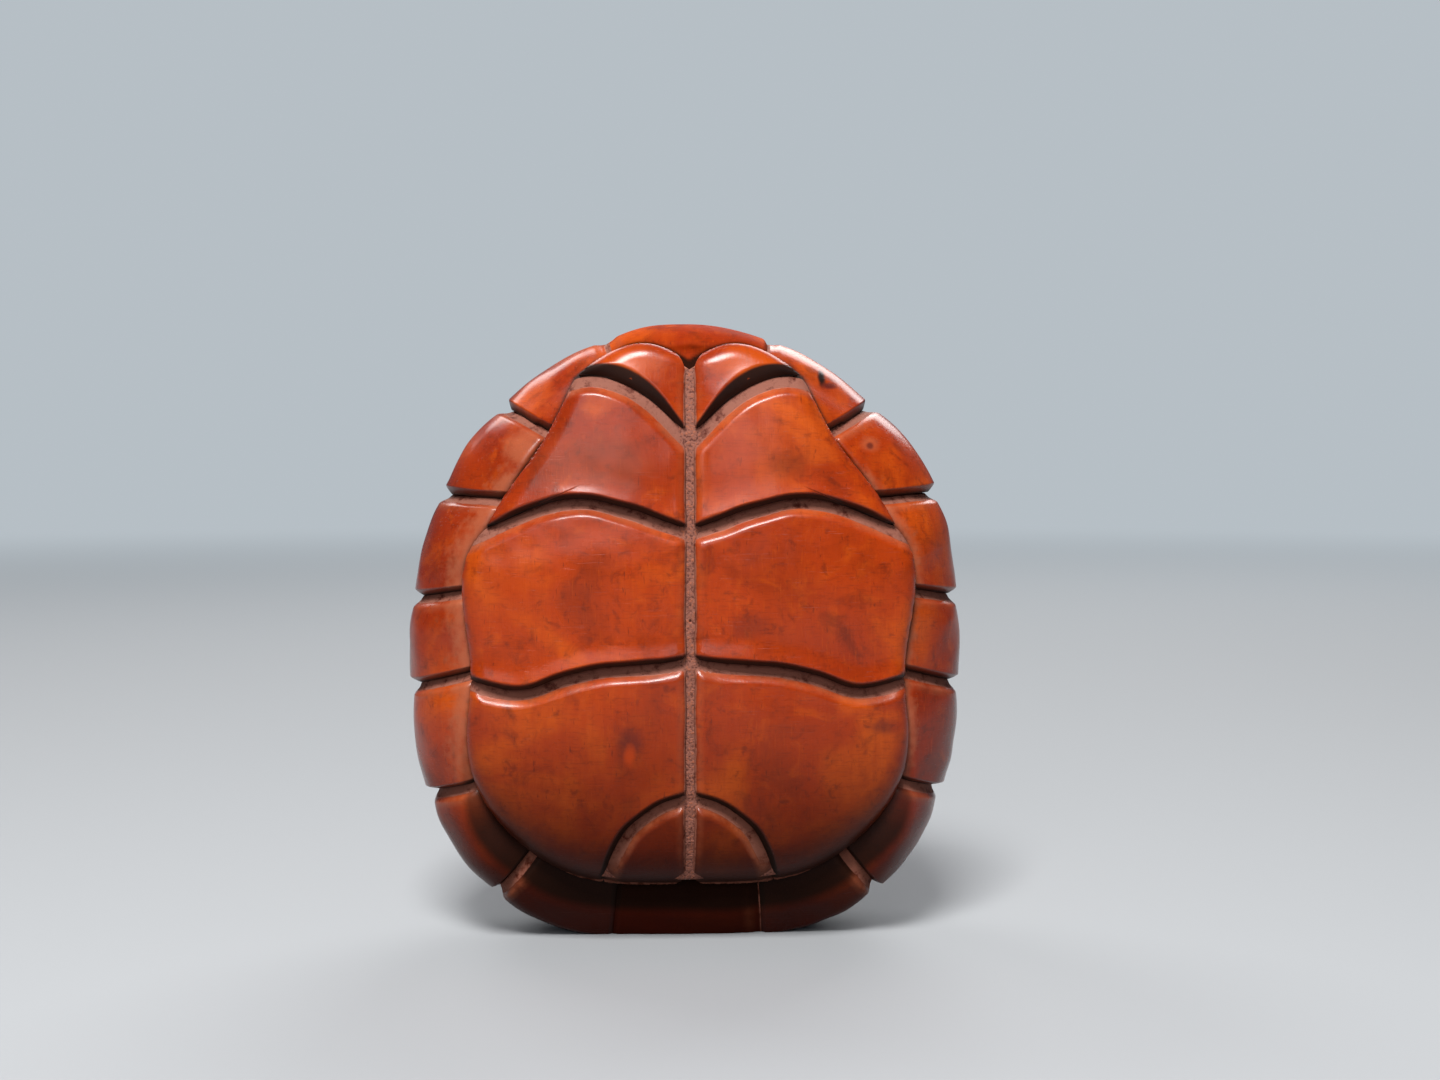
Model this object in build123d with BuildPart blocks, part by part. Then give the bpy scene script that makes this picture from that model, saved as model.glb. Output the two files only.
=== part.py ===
from build123d import *
from math import ceil, copysign, cos, hypot, pi, radians, sin
import os

# A carved wooden tortoise shell that stands on its tail edge, belly side to the front.
# X is to the viewer's right, Z is up, and the belly faces -Y.
# The origin is the middle of the bottom of the shell's box.

# Whole shell
shell_width = 64.5
shell_height = 71.0
shell_depth = 38.0
foot_cut = 1.0
top_squareness = 2.05
bottom_squareness = 2.7
dome_squareness = 2.1
belly_squareness = 2.5

# Shares of the shell's depth at which its parts lie behind the belly's face
rim_depth_share = 0.382
belly_cap_share = 0.105
front_seat_share = 0.21
back_seat_share = 0.658

# Belly slab, as shares of the shell's width and height, and its ten plates
plastron_width_share = 0.781
plastron_height_share = 0.873
plastron_bottom_share = 0.097
belly_bow_radius = 200.0
plate_proud = 1.9
plate_thickness = 1.6
midline_groove = 1.3
seam_groove = 1.4
plate_edge_radius = 0.8
plate_corner_ease = 0.3
belly_edge_gap = 0.25

# Rim plates, as shares of the shell's width
rim_width_share = 0.093
rim_plate_share = 0.133

# Grooves between the plates of the rim and the back
shell_groove = 1.0
shell_groove_depth = 0.9

# How far a cutting form runs past what it cuts
overrun = 5.0

# How many points the outlines of the shell pass through
outline_steps = 28

# Where the outlines of the shell lie: share of the way from the rim's edge to the belly's cap,
# and from the rim's edge to the top of the dome
belly_side_shares = (1, 0.85, 0.65, 0.4)
dome_side_shares = (0, 0.25, 0.45, 0.63, 0.78, 0.89, 0.965)

# Where the side views of the belly lie, as a share of its half width
belly_section_shares = (-1, -0.5, 0, 0.5, 1)

# Side view of the belly: share of the shell's height, share of its depth that it lies back
belly_profile_shares = (
    (1.12, 0.14), (1.0, 0.080), (0.87, 0.035), (0.70, 0.008), (0.535, 0.0),
    (0.37, 0.010), (0.25, 0.032), (0.17, 0.070), (0.10, 0.135), (0.03, 0.225), (-0.12, 0.45),
)

# Share of the rim's width that shows beside the belly, from the nuchal down to the supracaudal
rim_shares = (0.82, 0.6, 1.16, 1.23, 1.12, 1.36, 1.26, 1.28, 1.35, 1.36, 1.4)

# Belly edge and seams, right side: share of its half width, share of its height
gular_edge_shares = ((0, 0.963), (0.19, 1.0), (0.40, 0.969), (0.485, 0.936))
side_edge_shares = (
    (0.485, 0.936), (0.57, 0.871), (0.68, 0.805), (0.86, 0.712), (0.94, 0.660), (1.0, 0.605),
    (1.0, 0.52), (0.965, 0.40), (0.985, 0.30), (0.965, 0.21), (0.90, 0.15), (0.74, 0.074),
    (0.52, 0.018), (0.25, 0.0), (0, 0),
)
belly_seam_shares = {
    "gular": ((0, 0.825), (0.09, 0.862), (0.19, 0.898), (0.29, 0.921), (0.40, 0.936),
              (0.50, 0.934), (0.64, 0.91)),
    "humeral": ((0, 0.663), (0.185, 0.690), (0.33, 0.709), (0.445, 0.719), (0.58, 0.716),
                (0.73, 0.697), (0.85, 0.675), (0.95, 0.658), (1.15, 0.62)),
    "abdominal": ((0, 0.431), (0.18, 0.423), (0.33, 0.418), (0.467, 0.411), (0.61, 0.392),
                  (0.76, 0.376), (0.89, 0.383), (1.0, 0.397), (1.15, 0.42)),
    "femoral": ((0, 0.182), (0.09, 0.172), (0.19, 0.150), (0.287, 0.115), (0.343, 0.073),
                (0.375, 0.033), (0.40, -0.015), (0.42, -0.07)),
}

# Grooves across the rim, right side, from the top down: place round the outline in degrees,
# and the fall of the groove towards the inside in degrees
rim_groove_angles = (
    (16.6, 75), (40.7, 30), (61.8, 4), (82.1, -9), (94.1, -16), (112.7, -18), (141, -46),
    (170, -85),
)

# Inner corners of the back plates, right side, from the top down: share of the shell's half
# width, share of its height
vertebral_corner_shares = (
    (0.20, 0.74), (0.29, 0.66), (0.20, 0.58), (0.29, 0.497), (0.20, 0.415), (0.27, 0.335),
    (0.18, 0.26),
)

# Which corners of the block each costal plate reaches; a half lies midway between two
costal_reaches = ((0, 1, 2), (2, 3, 3.5), (3.5, 4, 5), (5, 6, 7))

front_y = -shell_depth / 2
back_y = shell_depth / 2
rim_y = front_y + shell_depth * rim_depth_share
cap_y = front_y + shell_depth * belly_cap_share
front_seat_y = front_y + shell_depth * front_seat_share
back_seat_y = front_y + shell_depth * back_seat_share
plastron_half_width = shell_width / 2 * plastron_width_share
plastron_height = shell_height * plastron_height_share
plastron_bottom = shell_height * plastron_bottom_share
rim_width = shell_width * rim_width_share
rim_plate_width = shell_width * rim_plate_share
outline_height = shell_height + foot_cut
centre_z = shell_height - outline_height / 2


def outline_point(turn, half_width, half_height):
    """A point of the two joined superellipses, at an angle from the top towards +X."""
    squareness = top_squareness if cos(turn) > 0 else bottom_squareness
    across = half_width * copysign(abs(sin(turn)) ** (2 / squareness), sin(turn))
    up = half_height * copysign(abs(cos(turn)) ** (2 / squareness), cos(turn))
    return across, up


def outline_points(scale=1, rim_share=0, inset=0):
    """The shell's outline, scaled, and drawn in by a share of the rim and by a distance."""
    points = []
    for step in range(outline_steps):
        across, up = outline_point(2 * pi * step / outline_steps,
                                   shell_width / 2, outline_height / 2)
        spot = (len(rim_shares) - 1) * 2 * min(step, outline_steps - step) / outline_steps
        low = min(int(spot), len(rim_shares) - 2)
        width_share = (rim_shares[low] * (low + 1 - spot)
                       + rim_shares[low + 1] * (spot - low))
        drawn_in = (rim_share * rim_width * width_share + inset) / hypot(across, up)
        factor = scale * (1 - drawn_in)
        points.append((across * factor, centre_z + up * factor))
    return points


def shell_form(inset=0):
    """The whole rounded shell without the belly slab, made smaller all round."""
    with BuildPart() as form:
        for share in belly_side_shares:
            with BuildSketch(Plane.XZ.offset(-rim_y - (cap_y - rim_y) * share)):
                with BuildLine():
                    Spline(outline_points(rim_share=share ** belly_squareness, inset=inset),
                           periodic=True)
                make_face()
        for share in dome_side_shares:
            scale = (1 - share ** dome_squareness) ** (1 / dome_squareness)
            with BuildSketch(Plane.XZ.offset(-rim_y - (back_y - inset - rim_y) * share)):
                with BuildLine():
                    Spline(outline_points(scale=scale, inset=inset), periodic=True)
                make_face()
        loft([*form.pending_faces, Vertex(0, back_y - inset, centre_z)])
    return form.part


def belly_form(setback):
    """Everything behind the bowed face of the belly, moved back by a distance."""
    half_width = shell_width / 2 + overrun
    with BuildPart() as form:
        for share in belly_section_shares:
            across = half_width * share
            face_y = front_y + setback + across ** 2 / (2 * belly_bow_radius)
            with BuildSketch(Plane.YZ.offset(across)):
                with BuildLine():
                    face_line = Spline([
                        (face_y + shell_depth * back, shell_height * up)
                        for up, back in belly_profile_shares
                    ])
                    top = face_line @ 0
                    bottom = face_line @ 1
                    Polyline(bottom, (back_y + overrun, bottom.Y), (back_y + overrun, top.Y), top)
                make_face()
        loft()
    return form.part


def belly_points(shares, side=1, grow=0):
    """Places on the belly, grown all round, from shares of its half width and height."""
    return [
        (side * (plastron_half_width + grow) * across,
         plastron_bottom - grow + (plastron_height + 2 * grow) * up)
        for across, up in shares
    ]


def slab_face(grow=0):
    """The outline of the whole belly slab, grown all round."""
    with BuildSketch(Plane.XZ) as slab:
        with BuildLine():
            for side in (1, -1):
                Spline(belly_points(gular_edge_shares, side, grow))
                Spline(belly_points(side_edge_shares, side, grow))
        make_face()
    return slab.sketch


def back_points(shares, side=1):
    """Places on the back from shares of the shell's half width and height."""
    return [(side * shell_width / 2 * across, shell_height * up) for across, up in shares]


def rim_groove_line(angles, side=1):
    """The outer and inner end of a groove across the rim."""
    turn, fall = (radians(angle) for angle in angles)
    across, up = outline_point(turn, shell_width / 2, outline_height / 2)
    return [
        (side * (across - reach * cos(fall)), centre_z + up - reach * sin(fall))
        for reach in (-overrun, rim_plate_width)
    ]


# Grooves of the belly slab, then the ten plates between them
with BuildSketch(Plane.XZ) as groove_sketch:
    for seam_shares in belly_seam_shares.values():
        for side in (1, -1):
            with BuildLine() as seam:
                Spline(belly_points(seam_shares, side))
            trace(line_width=seam_groove)
    with Locations((0, shell_height / 2)):
        Rectangle(midline_groove, shell_height + 2 * overrun)
    add(slab_face(), mode=Mode.INTERSECT)

with BuildSketch(Plane.XZ) as belly_sketch:
    add(slab_face())
    add(groove_sketch.sketch, mode=Mode.SUBTRACT)
    fillet(belly_sketch.vertices(), plate_edge_radius + plate_corner_ease)

# The shell under the belly slab: out to its skin, and out to the floors of its grooves
with BuildPart() as shell_skin:
    add(shell_form())
    add(belly_form(plate_proud), mode=Mode.INTERSECT)

with BuildPart() as groove_skin:
    add(shell_form(shell_groove_depth))
    add(belly_form(plate_proud + shell_groove_depth), mode=Mode.INTERSECT)

belly_face = belly_form(0)

# Wooden block with flat seats for rim, back and belly plates, and the ribs that show as the
# floors of the grooves between the belly plates
groove_lines = [rim_groove_line(angles) for angles in rim_groove_angles]
left_groove_lines = [rim_groove_line(angles, -1) for angles in rim_groove_angles]
right_corners = [inner for outer, inner in groove_lines]
left_corners = [inner for outer, inner in left_groove_lines]

with BuildPart() as belly_ribs:
    extrude(groove_sketch.sketch, amount=-front_y)
    add(belly_form(plate_thickness), mode=Mode.INTERSECT)
    split(bisect_by=Plane.XZ.offset(-front_seat_y), keep=Keep.TOP)

with BuildPart() as shell_block:
    with BuildSketch(Plane.XZ.offset(-back_seat_y)):
        with BuildLine():
            Polyline(*right_corners, *reversed(left_corners), close=True)
        make_face()
    extrude(amount=back_seat_y - front_seat_y)
    add(belly_ribs.part)
shell_block.part.label = "shell_block"
pieces = [shell_block.part]


def prism(corners, start_y, inset=0):
    """Everything behind a place in the depth, between flat walls drawn in by a distance."""
    with BuildPart() as form:
        with BuildSketch(Plane.XZ.offset(-start_y)):
            with BuildLine():
                Polyline(*corners, close=True)
            make_face()
            offset(amount=-inset, kind=Kind.INTERSECTION, mode=Mode.REPLACE)
        extrude(amount=-2 * shell_depth)
    return form.part


def carved_plate(corners, start_y, label):
    """A plate of the shell between flat walls, with half a groove along each of its edges."""
    with BuildPart() as raised:
        add(prism(corners, start_y, inset=shell_groove / 2))
        add(shell_skin.part, mode=Mode.INTERSECT)
    with BuildPart() as plate:
        add(prism(corners, start_y))
        add(groove_skin.part, mode=Mode.INTERSECT)
        add(raised.part)
        if start_y < front_seat_y:
            add(belly_room.part, mode=Mode.SUBTRACT)
            add(floor_room.part, mode=Mode.SUBTRACT)
    plate.part.label = label
    return plate.part


# Ten belly plates, seated between the ribs
belly_names = ("gular", "humeral", "abdominal", "femoral", "anal")
belly_faces = belly_sketch.sketch.faces().sort_by(Axis.Z, reverse=True)
for number, face in enumerate(belly_faces):
    with BuildPart() as plate:
        extrude(face, amount=-front_y + overrun)
        split(bisect_by=Plane.XZ.offset(-front_seat_y), keep=Keep.TOP)
        add(belly_face, mode=Mode.INTERSECT)
        fillet(plate.faces().sort_by(Axis.Y)[0].edges(), plate_edge_radius)
    side_name = "right" if face.center().X > 0 else "left"
    plate.part.label = f"{belly_names[number // 2]}_{side_name}"
    pieces.append(plate.part)

# Sixteen rim plates: the right-hand ones, their mirror images, and the two on the middle line
with BuildPart() as belly_room:
    extrude(slab_face(grow=belly_edge_gap), amount=-front_y + overrun)
    split(bisect_by=Plane.XZ.offset(-front_seat_y), keep=Keep.TOP)

with BuildPart() as floor_room:
    with BuildSketch():
        Rectangle(shell_width + 2 * overrun, shell_depth + 2 * overrun)
    extrude(amount=-foot_cut - overrun)

rim_start_y = front_y - overrun
for number in range(1, len(groove_lines)):
    upper, lower = groove_lines[number - 1], groove_lines[number]
    corners = (*upper, lower[1], lower[0])
    marginal = carved_plate(corners, rim_start_y, f"marginal_{number}_right")
    twin = mirror(marginal, about=Plane.YZ)
    twin.label = f"marginal_{number}_left"
    pieces += [marginal, twin]
for label, place in (("nuchal", 0), ("supracaudal", -1)):
    corners = (*groove_lines[place], *left_groove_lines[place][::-1])
    pieces.append(carved_plate(corners, rim_start_y, label))


# Thirteen back plates, from the vertebral row outwards
def block_corner(place):
    """A corner of the block's right side, or a place between two corners."""
    low, high = right_corners[int(place)], right_corners[ceil(place)]
    return tuple(start + (end - start) * (place % 1) for start, end in zip(low, high))


vertebral_corners = [right_corners[0], *back_points(vertebral_corner_shares), right_corners[-1]]
for number in range(1, 6):
    right = vertebral_corners[max(2 * number - 3, 0):2 * number]
    left = [(-across, up) for across, up in reversed(right)]
    pieces.append(carved_plate((*right, *left), back_seat_y, f"vertebral_{number}"))
for number, reaches in enumerate(costal_reaches, start=1):
    inner = vertebral_corners[max(2 * number - 2, 1):min(2 * number + 1, 8)]
    corners = (*map(block_corner, reaches), *reversed(inner))
    costal = carved_plate(corners, back_seat_y, f"costal_{number}_right")
    twin = mirror(costal, about=Plane.YZ)
    twin.label = f"costal_{number}_left"
    pieces += [costal, twin]

os.makedirs("parts", exist_ok=True)
for piece in pieces:
    export_step(piece, f"parts/{piece.label}.step")
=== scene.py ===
import bpy
import numpy as np
from math import radians
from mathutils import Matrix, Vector


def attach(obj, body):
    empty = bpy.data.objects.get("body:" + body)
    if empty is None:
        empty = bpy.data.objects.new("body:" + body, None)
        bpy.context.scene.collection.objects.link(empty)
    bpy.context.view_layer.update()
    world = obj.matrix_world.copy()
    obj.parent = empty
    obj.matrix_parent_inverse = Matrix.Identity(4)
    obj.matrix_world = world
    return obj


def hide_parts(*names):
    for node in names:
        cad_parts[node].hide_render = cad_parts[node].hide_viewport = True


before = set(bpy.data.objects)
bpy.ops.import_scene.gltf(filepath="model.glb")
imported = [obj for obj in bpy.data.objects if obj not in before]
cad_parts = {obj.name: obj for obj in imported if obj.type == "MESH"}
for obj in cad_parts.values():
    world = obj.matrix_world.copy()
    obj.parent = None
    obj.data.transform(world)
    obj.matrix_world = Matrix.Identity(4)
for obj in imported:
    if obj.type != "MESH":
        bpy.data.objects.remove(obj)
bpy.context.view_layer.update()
print("frame loaded:", len(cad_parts), "nodes")

mm = 0.001  # shapes and places are in millimetres until they go into a mesh or a socket
nearlyNought = 1e-9  # what a divisor is kept above

# the whole shell: the same sizes as the solids
shell = dict(width=64.5, height=71.0, depth=38.0, footCut=1.0, rimDepth=14.5, rimWidth=6.0,
             topPower=2.05, bottomPower=2.7, domePower=2.1, bellyPower=2.5, bellyCap=4.0,
             bow=200.0, rimProud=1.9, rimSoftness=1.0, seatFront=8.0, seatBack=25.0)
halfWidth = shell["width"] / 2
halfHeight = (shell["height"] + shell["footCut"]) / 2
middleZ = shell["height"] - halfHeight
frontY = -shell["depth"] / 2
backY = shell["depth"] / 2
rimY = frontY + shell["rimDepth"]
capY = frontY + shell["bellyCap"]
frontSeatY = frontY + shell["seatFront"]
backSeatY = frontY + shell["seatBack"]

# side view of the belly: share of the height, share of the depth that it lies back
bellyProfile = [(-.12, .45), (.03, .225), (.10, .135), (.17, .070), (.25, .032), (.37, .010),
                (.535, 0), (.70, .008), (.87, .035), (1.0, .080), (1.12, .14)]
# how much of the rim's width shows, from the nuchal plate down to the tail
rimShares = [.45, .55, 1.05, 1.23, 1.12, 1.36, 1.26, 1.28, 1.35, 1.36, 1.4]
# grooves across the rim, right side: turn round the outline, fall towards the inside, in degrees
rimGrooves = np.array([(16.6, 75), (40.7, 30), (61.8, 4), (82.1, -9), (94.1, -16), (112.7, -18),
                       (141, -46), (170, -85)])

# the belly slab: its place, the gaps between its plates, the lips and corners of the plates
belly = dict(halfWidth=25.2, height=62.0, bottom=6.9, midGap=(0.46, 0.20), midNarrowing=(64, 68),
             floorDepth=2.1, midFloorDepth=1.55, setback=0.3, crown=0.45, crownReach=8,
             lip=0.52, lipReach=1.7, lipFade=(8, 22), innerCorner=1.1, outerCorner=0.4,
             cornerFade=3, ragged=0.05, farOff=50.0)
# right side of the slab's edge and of its seams: share of the half width, share of the height
gularEdge = [(0, .960), (.19, .993), (.41, .966), (.508, .936)]
sideEdge = [(.508, .936), (.583, .871), (.68, .803), (.84, .712), (.905, .668), (.965, .634),
            (1.0, .595), (1.0, .52), (.965, .40), (.985, .30), (.965, .21), (.90, .15),
            (.74, .074), (.52, .018), (.25, 0), (0, 0)]
seams = {
    "gular": [(0, .825), (.09, .862), (.19, .898), (.29, .921), (.40, .936), (.50, .934),
              (.64, .91)],
    "humeral": [(0, .663), (.185, .690), (.33, .709), (.445, .719), (.58, .716), (.73, .697),
                (.85, .675), (.95, .658), (1.15, .62)],
    "abdominal": [(0, .431), (.18, .423), (.33, .418), (.467, .411), (.61, .392), (.76, .376),
                  (.89, .383), (1.0, .397), (1.15, .42)],
    "femoral": [(0, .182), (.09, .172), (.19, .150), (.287, .115), (.343, .073), (.375, .033),
                (.40, -.015), (.42, -.07)],
}


# A smooth line through given points: a cubic spline whose second derivatives come from one linear
# system, with the distance along the chords as its parameter.
def smoothThrough(points, count):
    points = np.asarray(points, float)
    gaps = np.hypot(*np.diff(points, axis=0).T)
    stops = np.concatenate([[0], np.cumsum(gaps)])
    inner = np.arange(1, len(points) - 1)
    system = np.eye(len(points))
    right = np.zeros((len(points), 2))
    system[inner, inner - 1] = gaps[:-1]
    system[inner, inner] = 2 * (gaps[:-1] + gaps[1:])
    system[inner, inner + 1] = gaps[1:]
    right[inner] = 6 * np.diff(np.diff(points, axis=0) / gaps[:, None], axis=0)
    bend = np.linalg.solve(system, right)
    at = np.linspace(0, stops[-1], count)
    start = np.clip(np.searchsorted(stops, at, side="right") - 1, 0, len(points) - 2)
    end = start + 1
    gap, ahead, behind = gaps[start][:, None], (stops[end] - at)[:, None], (at - stops[start])[:, None]
    curve = (bend[start] * ahead ** 3 + bend[end] * behind ** 3) / (6 * gap)
    return (curve + (points[start] / gap - bend[start] * gap / 6) * ahead
            + (points[end] / gap - bend[end] * gap / 6) * behind)


# The smaller of two distances, with the corner where they cross rounded over a given width.
def softMin(a, b, width):
    share = np.clip(0.5 + 0.5 * (b - a) / width, 0, 1)
    return b + (a - b) * share - width * share * (1 - share)


# A straight step: 0 at the start, 1 at the end, which may lie on either side of it.
def straightRise(value, start, end):
    return np.clip((value - start) / (end - start), 0, 1)


# An S-shaped step from the start to the end: three squares less two cubes.
def rise(value, start, end):
    share = straightRise(value, start, end)
    return share * share * (3 - 2 * share)


# A tent: 1 at its middle, and down to 0 at its reach from there.
def tent(value, middle, reach):
    return np.clip(1 - np.abs(value - middle) / reach, 0, 1)


# A place between two values, by its share of the way.
def between(first, last, share):
    return first + (last - first) * share


carver = dict(waves=7, lengths=(0.6, 1.6), phases=(0, 6.3))


# Slow hand-carved unevenness: a sum of sine waves of about a given length, whose directions and
# phases are drawn from a seed.
def wobble(x, y, z, size, seed):
    dice = np.random.default_rng(seed)
    total = 0
    for _ in range(carver["waves"]):
        way = dice.normal(size=3)
        way /= np.linalg.norm(way) * size * dice.uniform(*carver["lengths"])
        phase = dice.uniform(*carver["phases"])
        total = total + np.sin(2 * np.pi * (x * way[0] + y * way[1] + z * way[2]) + phase)
    return total / carver["waves"] ** 0.5


# Several of them together: the height and length of each, with seeds that follow each other.
def unevenness(x, y, z, waves, seed):
    return sum(height * wobble(x, y, z, size, seed + step) for step, (height, size) in enumerate(waves))


# Belly places from shares: half widths across, heights up from the slab's lower end.
def bellyLine(shares, count=260):
    across, up = np.transpose(shares)
    points = [belly["halfWidth"] * across, belly["bottom"] + belly["height"] * up]
    return smoothThrough(np.column_stack(points), count)


profileLine = smoothThrough(bellyProfile, 400)


# The bowed face of the belly: its side view, plus the square of the place across over the bow.
def bellyFace(x, z):
    back = np.interp(z / shell["height"], profileLine[:, 0], profileLine[:, 1])
    return frontY + shell["depth"] * back + x ** 2 / (2 * shell["bow"])


# How far out a place lies, 0 in the middle and 1 on the outline: a superellipse whose power
# differs above and below the middle. Also the turn round the outline.
def outlineReach(x, z):
    up = (z - middleZ) / halfHeight
    across = np.abs(x) / halfWidth
    power = np.where(up > 0, shell["topPower"], shell["bottomPower"])
    reach = (across ** power + np.abs(up) ** power) ** (1 / power)
    turn = np.arctan2(across ** (power / 2), np.sign(up) * np.abs(up) ** (power / 2))
    return reach, turn


# The place on that outline at a turn: the sine and cosine, raised to two over the power.
def outlinePoint(turn):
    power = np.where(np.cos(turn) > 0, shell["topPower"], shell["bottomPower"])
    x = halfWidth * np.sign(np.sin(turn)) * np.abs(np.sin(turn)) ** (2 / power)
    z = middleZ + halfHeight * np.sign(np.cos(turn)) * np.abs(np.cos(turn)) ** (2 / power)
    return x, z


# The dome: a superellipse in depth over the reach of the outline.
def domeY(x, z):
    reach = np.clip(outlineReach(x, z)[0], 0, 1)
    return rimY + (backY - rimY) * (1 - reach ** shell["domePower"]) ** (1 / shell["domePower"])


# The front of the rim: it rises from the outline with a power curve over the rim's width, and it
# never comes nearer than a little behind the belly's face.
def rimFrontY(x, z):
    reach, turn = outlineReach(x, z)
    inset = np.hypot(x, z - middleZ) * (1 / np.maximum(reach, nearlyNought) - 1)
    shares = np.interp(turn / np.pi, np.linspace(0, 1, len(rimShares)), rimShares)
    share = np.clip(inset / (shell["rimWidth"] * shares), 0, 1) ** (1 / shell["bellyPower"])
    front = rimY - (rimY - capY) * share
    return -softMin(-front, -(bellyFace(x, z) + shell["rimProud"]), shell["rimSoftness"])


placesAtOnce = 8000  # a whole piece in one go would take too much memory


# Distances from many places to the nearest point of a line, in blocks of places.
def distanceTo(x, z, line):
    flat = np.column_stack([x.ravel(), z.ravel()])
    blocks = np.array_split(flat, max(1, len(flat) // placesAtOnce))
    far = [np.hypot(block[:, None, 0] - line[:, 0], block[:, None, 1] - line[:, 1]).min(axis=1)
           for block in blocks]
    return np.concatenate(far).reshape(x.shape)


slabHalf = np.vstack([bellyLine(gularEdge, 80), bellyLine(sideEdge, 300)[1:]])
slabMiddle = belly["bottom"] + belly["height"] / 2
slabTurns = np.arctan2(slabHalf[:, 0], slabHalf[:, 1] - slabMiddle)
slabRadii = np.hypot(slabHalf[:, 0], slabHalf[:, 1] - slabMiddle)


# How far inside the belly slab a place lies, negative outside: the nearest point of its edge, with
# the sign taken from the angle and radius about the slab's middle.
def insideSlab(x, z):
    radius = np.interp(np.arctan2(np.abs(x), z - slabMiddle), slabTurns, slabRadii)
    return np.sign(radius - np.hypot(x, z - slabMiddle)) * distanceTo(np.abs(x), z, slabHalf)


seamLines = {name: bellyLine(shares) for name, shares in seams.items()}


# How far below a seam a place lies, negative above: the nearest point of the seam, with the sign
# from the seam's height there.
def belowSeam(x, z, name):
    line = seamLines[name]
    height = np.interp(np.abs(x), line[:, 0], line[:, 1])
    return np.sign(height - z) * distanceTo(np.abs(x), z, line)


# A rounded edge: a quarter of an ellipse that falls by its drop over its width.
def roundedEdge(distance, width, drop):
    share = np.clip(distance / width, 0, 1)
    return drop * (1 - np.sqrt(1 - (1 - share) ** 2))


# A slope that starts steep and runs out level: a power of what is left of its width.
def runOut(distance, width, drop, power):
    return drop * (1 - np.clip(distance / width, 0, 1)) ** power


shoulderLook = dict(stepShare=0.60, step=(0.33, 1.08), slopePower=1.5)


# A groove's dusty floor that rises gently, and a crisp shoulder at its end: an S-shaped step, and
# for the rest of the drop a slope that runs out over the size.
def shoulder(distance, size, drop):
    look = shoulderLook
    step = look["stepShare"] * (1 - rise(distance / size, *look["step"]))
    return drop * (step + runOut(distance, size, 1 - look["stepShare"], look["slopePower"]))


# The carver's outline isn't quite even: the right shoulder swells, the crown is a little higher
# and the left hip is drawn in. Each is a bell curve: where, how wide, how far it moves x and z.
swellings = dict(shoulder=((27, 54), 9, (0.9, 0.15)), crown=((0, 71), 12, (0, 0.5)),
                 hip=((-30, 30), 10, (-0.3, 0)))


# Places moved by those swellings: the move times e to the minus square of the distance over the
# reach.
def byHand(places):
    moved = places.copy()
    for (x, z), reach, (pushX, pushZ) in swellings.values():
        bell = np.exp(-((places[:, 0] - x) ** 2 + (places[:, 2] - z) ** 2) / reach ** 2)
        moved[:, 0] += pushX * bell
        moved[:, 2] += pushZ * bell
    return moved


# A closed piece from a stack of rings: rows of places round it, closed across, and one pole at
# each end. Faces are worked out from the places' numbers, and turned outwards by the sign of the
# volume. Each layer is one number per place, kept as an attribute.
def makePiece(node, slotName, material, rings, poles, layers):
    rows, columns = rings.shape[:2]
    places = byHand(np.vstack([rings.reshape(-1, 3), poles])) * mm
    number = np.arange(rows * columns).reshape(rows, columns)
    after = np.roll(number, -1, axis=1)
    quads = np.stack([number[:-1], after[:-1], after[1:], number[1:]], axis=-1).reshape(-1, 4)
    firstPole, lastPole = rows * columns, rows * columns + 1
    startFan = np.column_stack([np.full(columns, firstPole), after[0], number[0]])
    endFan = np.column_stack([np.full(columns, lastPole), number[-1], after[-1]])
    fans = np.vstack([startFan, endFan])
    a, b, c, d = (places[quads[:, corner]] for corner in range(4))
    volume = (a * (np.cross(b, c) + np.cross(c, d))).sum()
    if volume < 0:
        quads, fans = quads[:, ::-1], fans[:, ::-1]
    name = "seen_" + node
    mesh = bpy.data.meshes.new(name)
    mesh.from_pydata(places.tolist(), [], quads.tolist() + fans.tolist())
    mesh.shade_smooth()
    for layer, (values, atPoles) in layers.items():
        attribute = mesh.attributes.new(layer, "FLOAT", "POINT")
        attribute.data.foreach_set("value", np.append(values.ravel(), atPoles).astype(np.float32))
    mesh.materials.append(material)
    piece = bpy.data.objects.new(name, mesh)
    bpy.context.scene.collection.objects.link(piece)
    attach(piece, "root")
    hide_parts(node)


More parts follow.
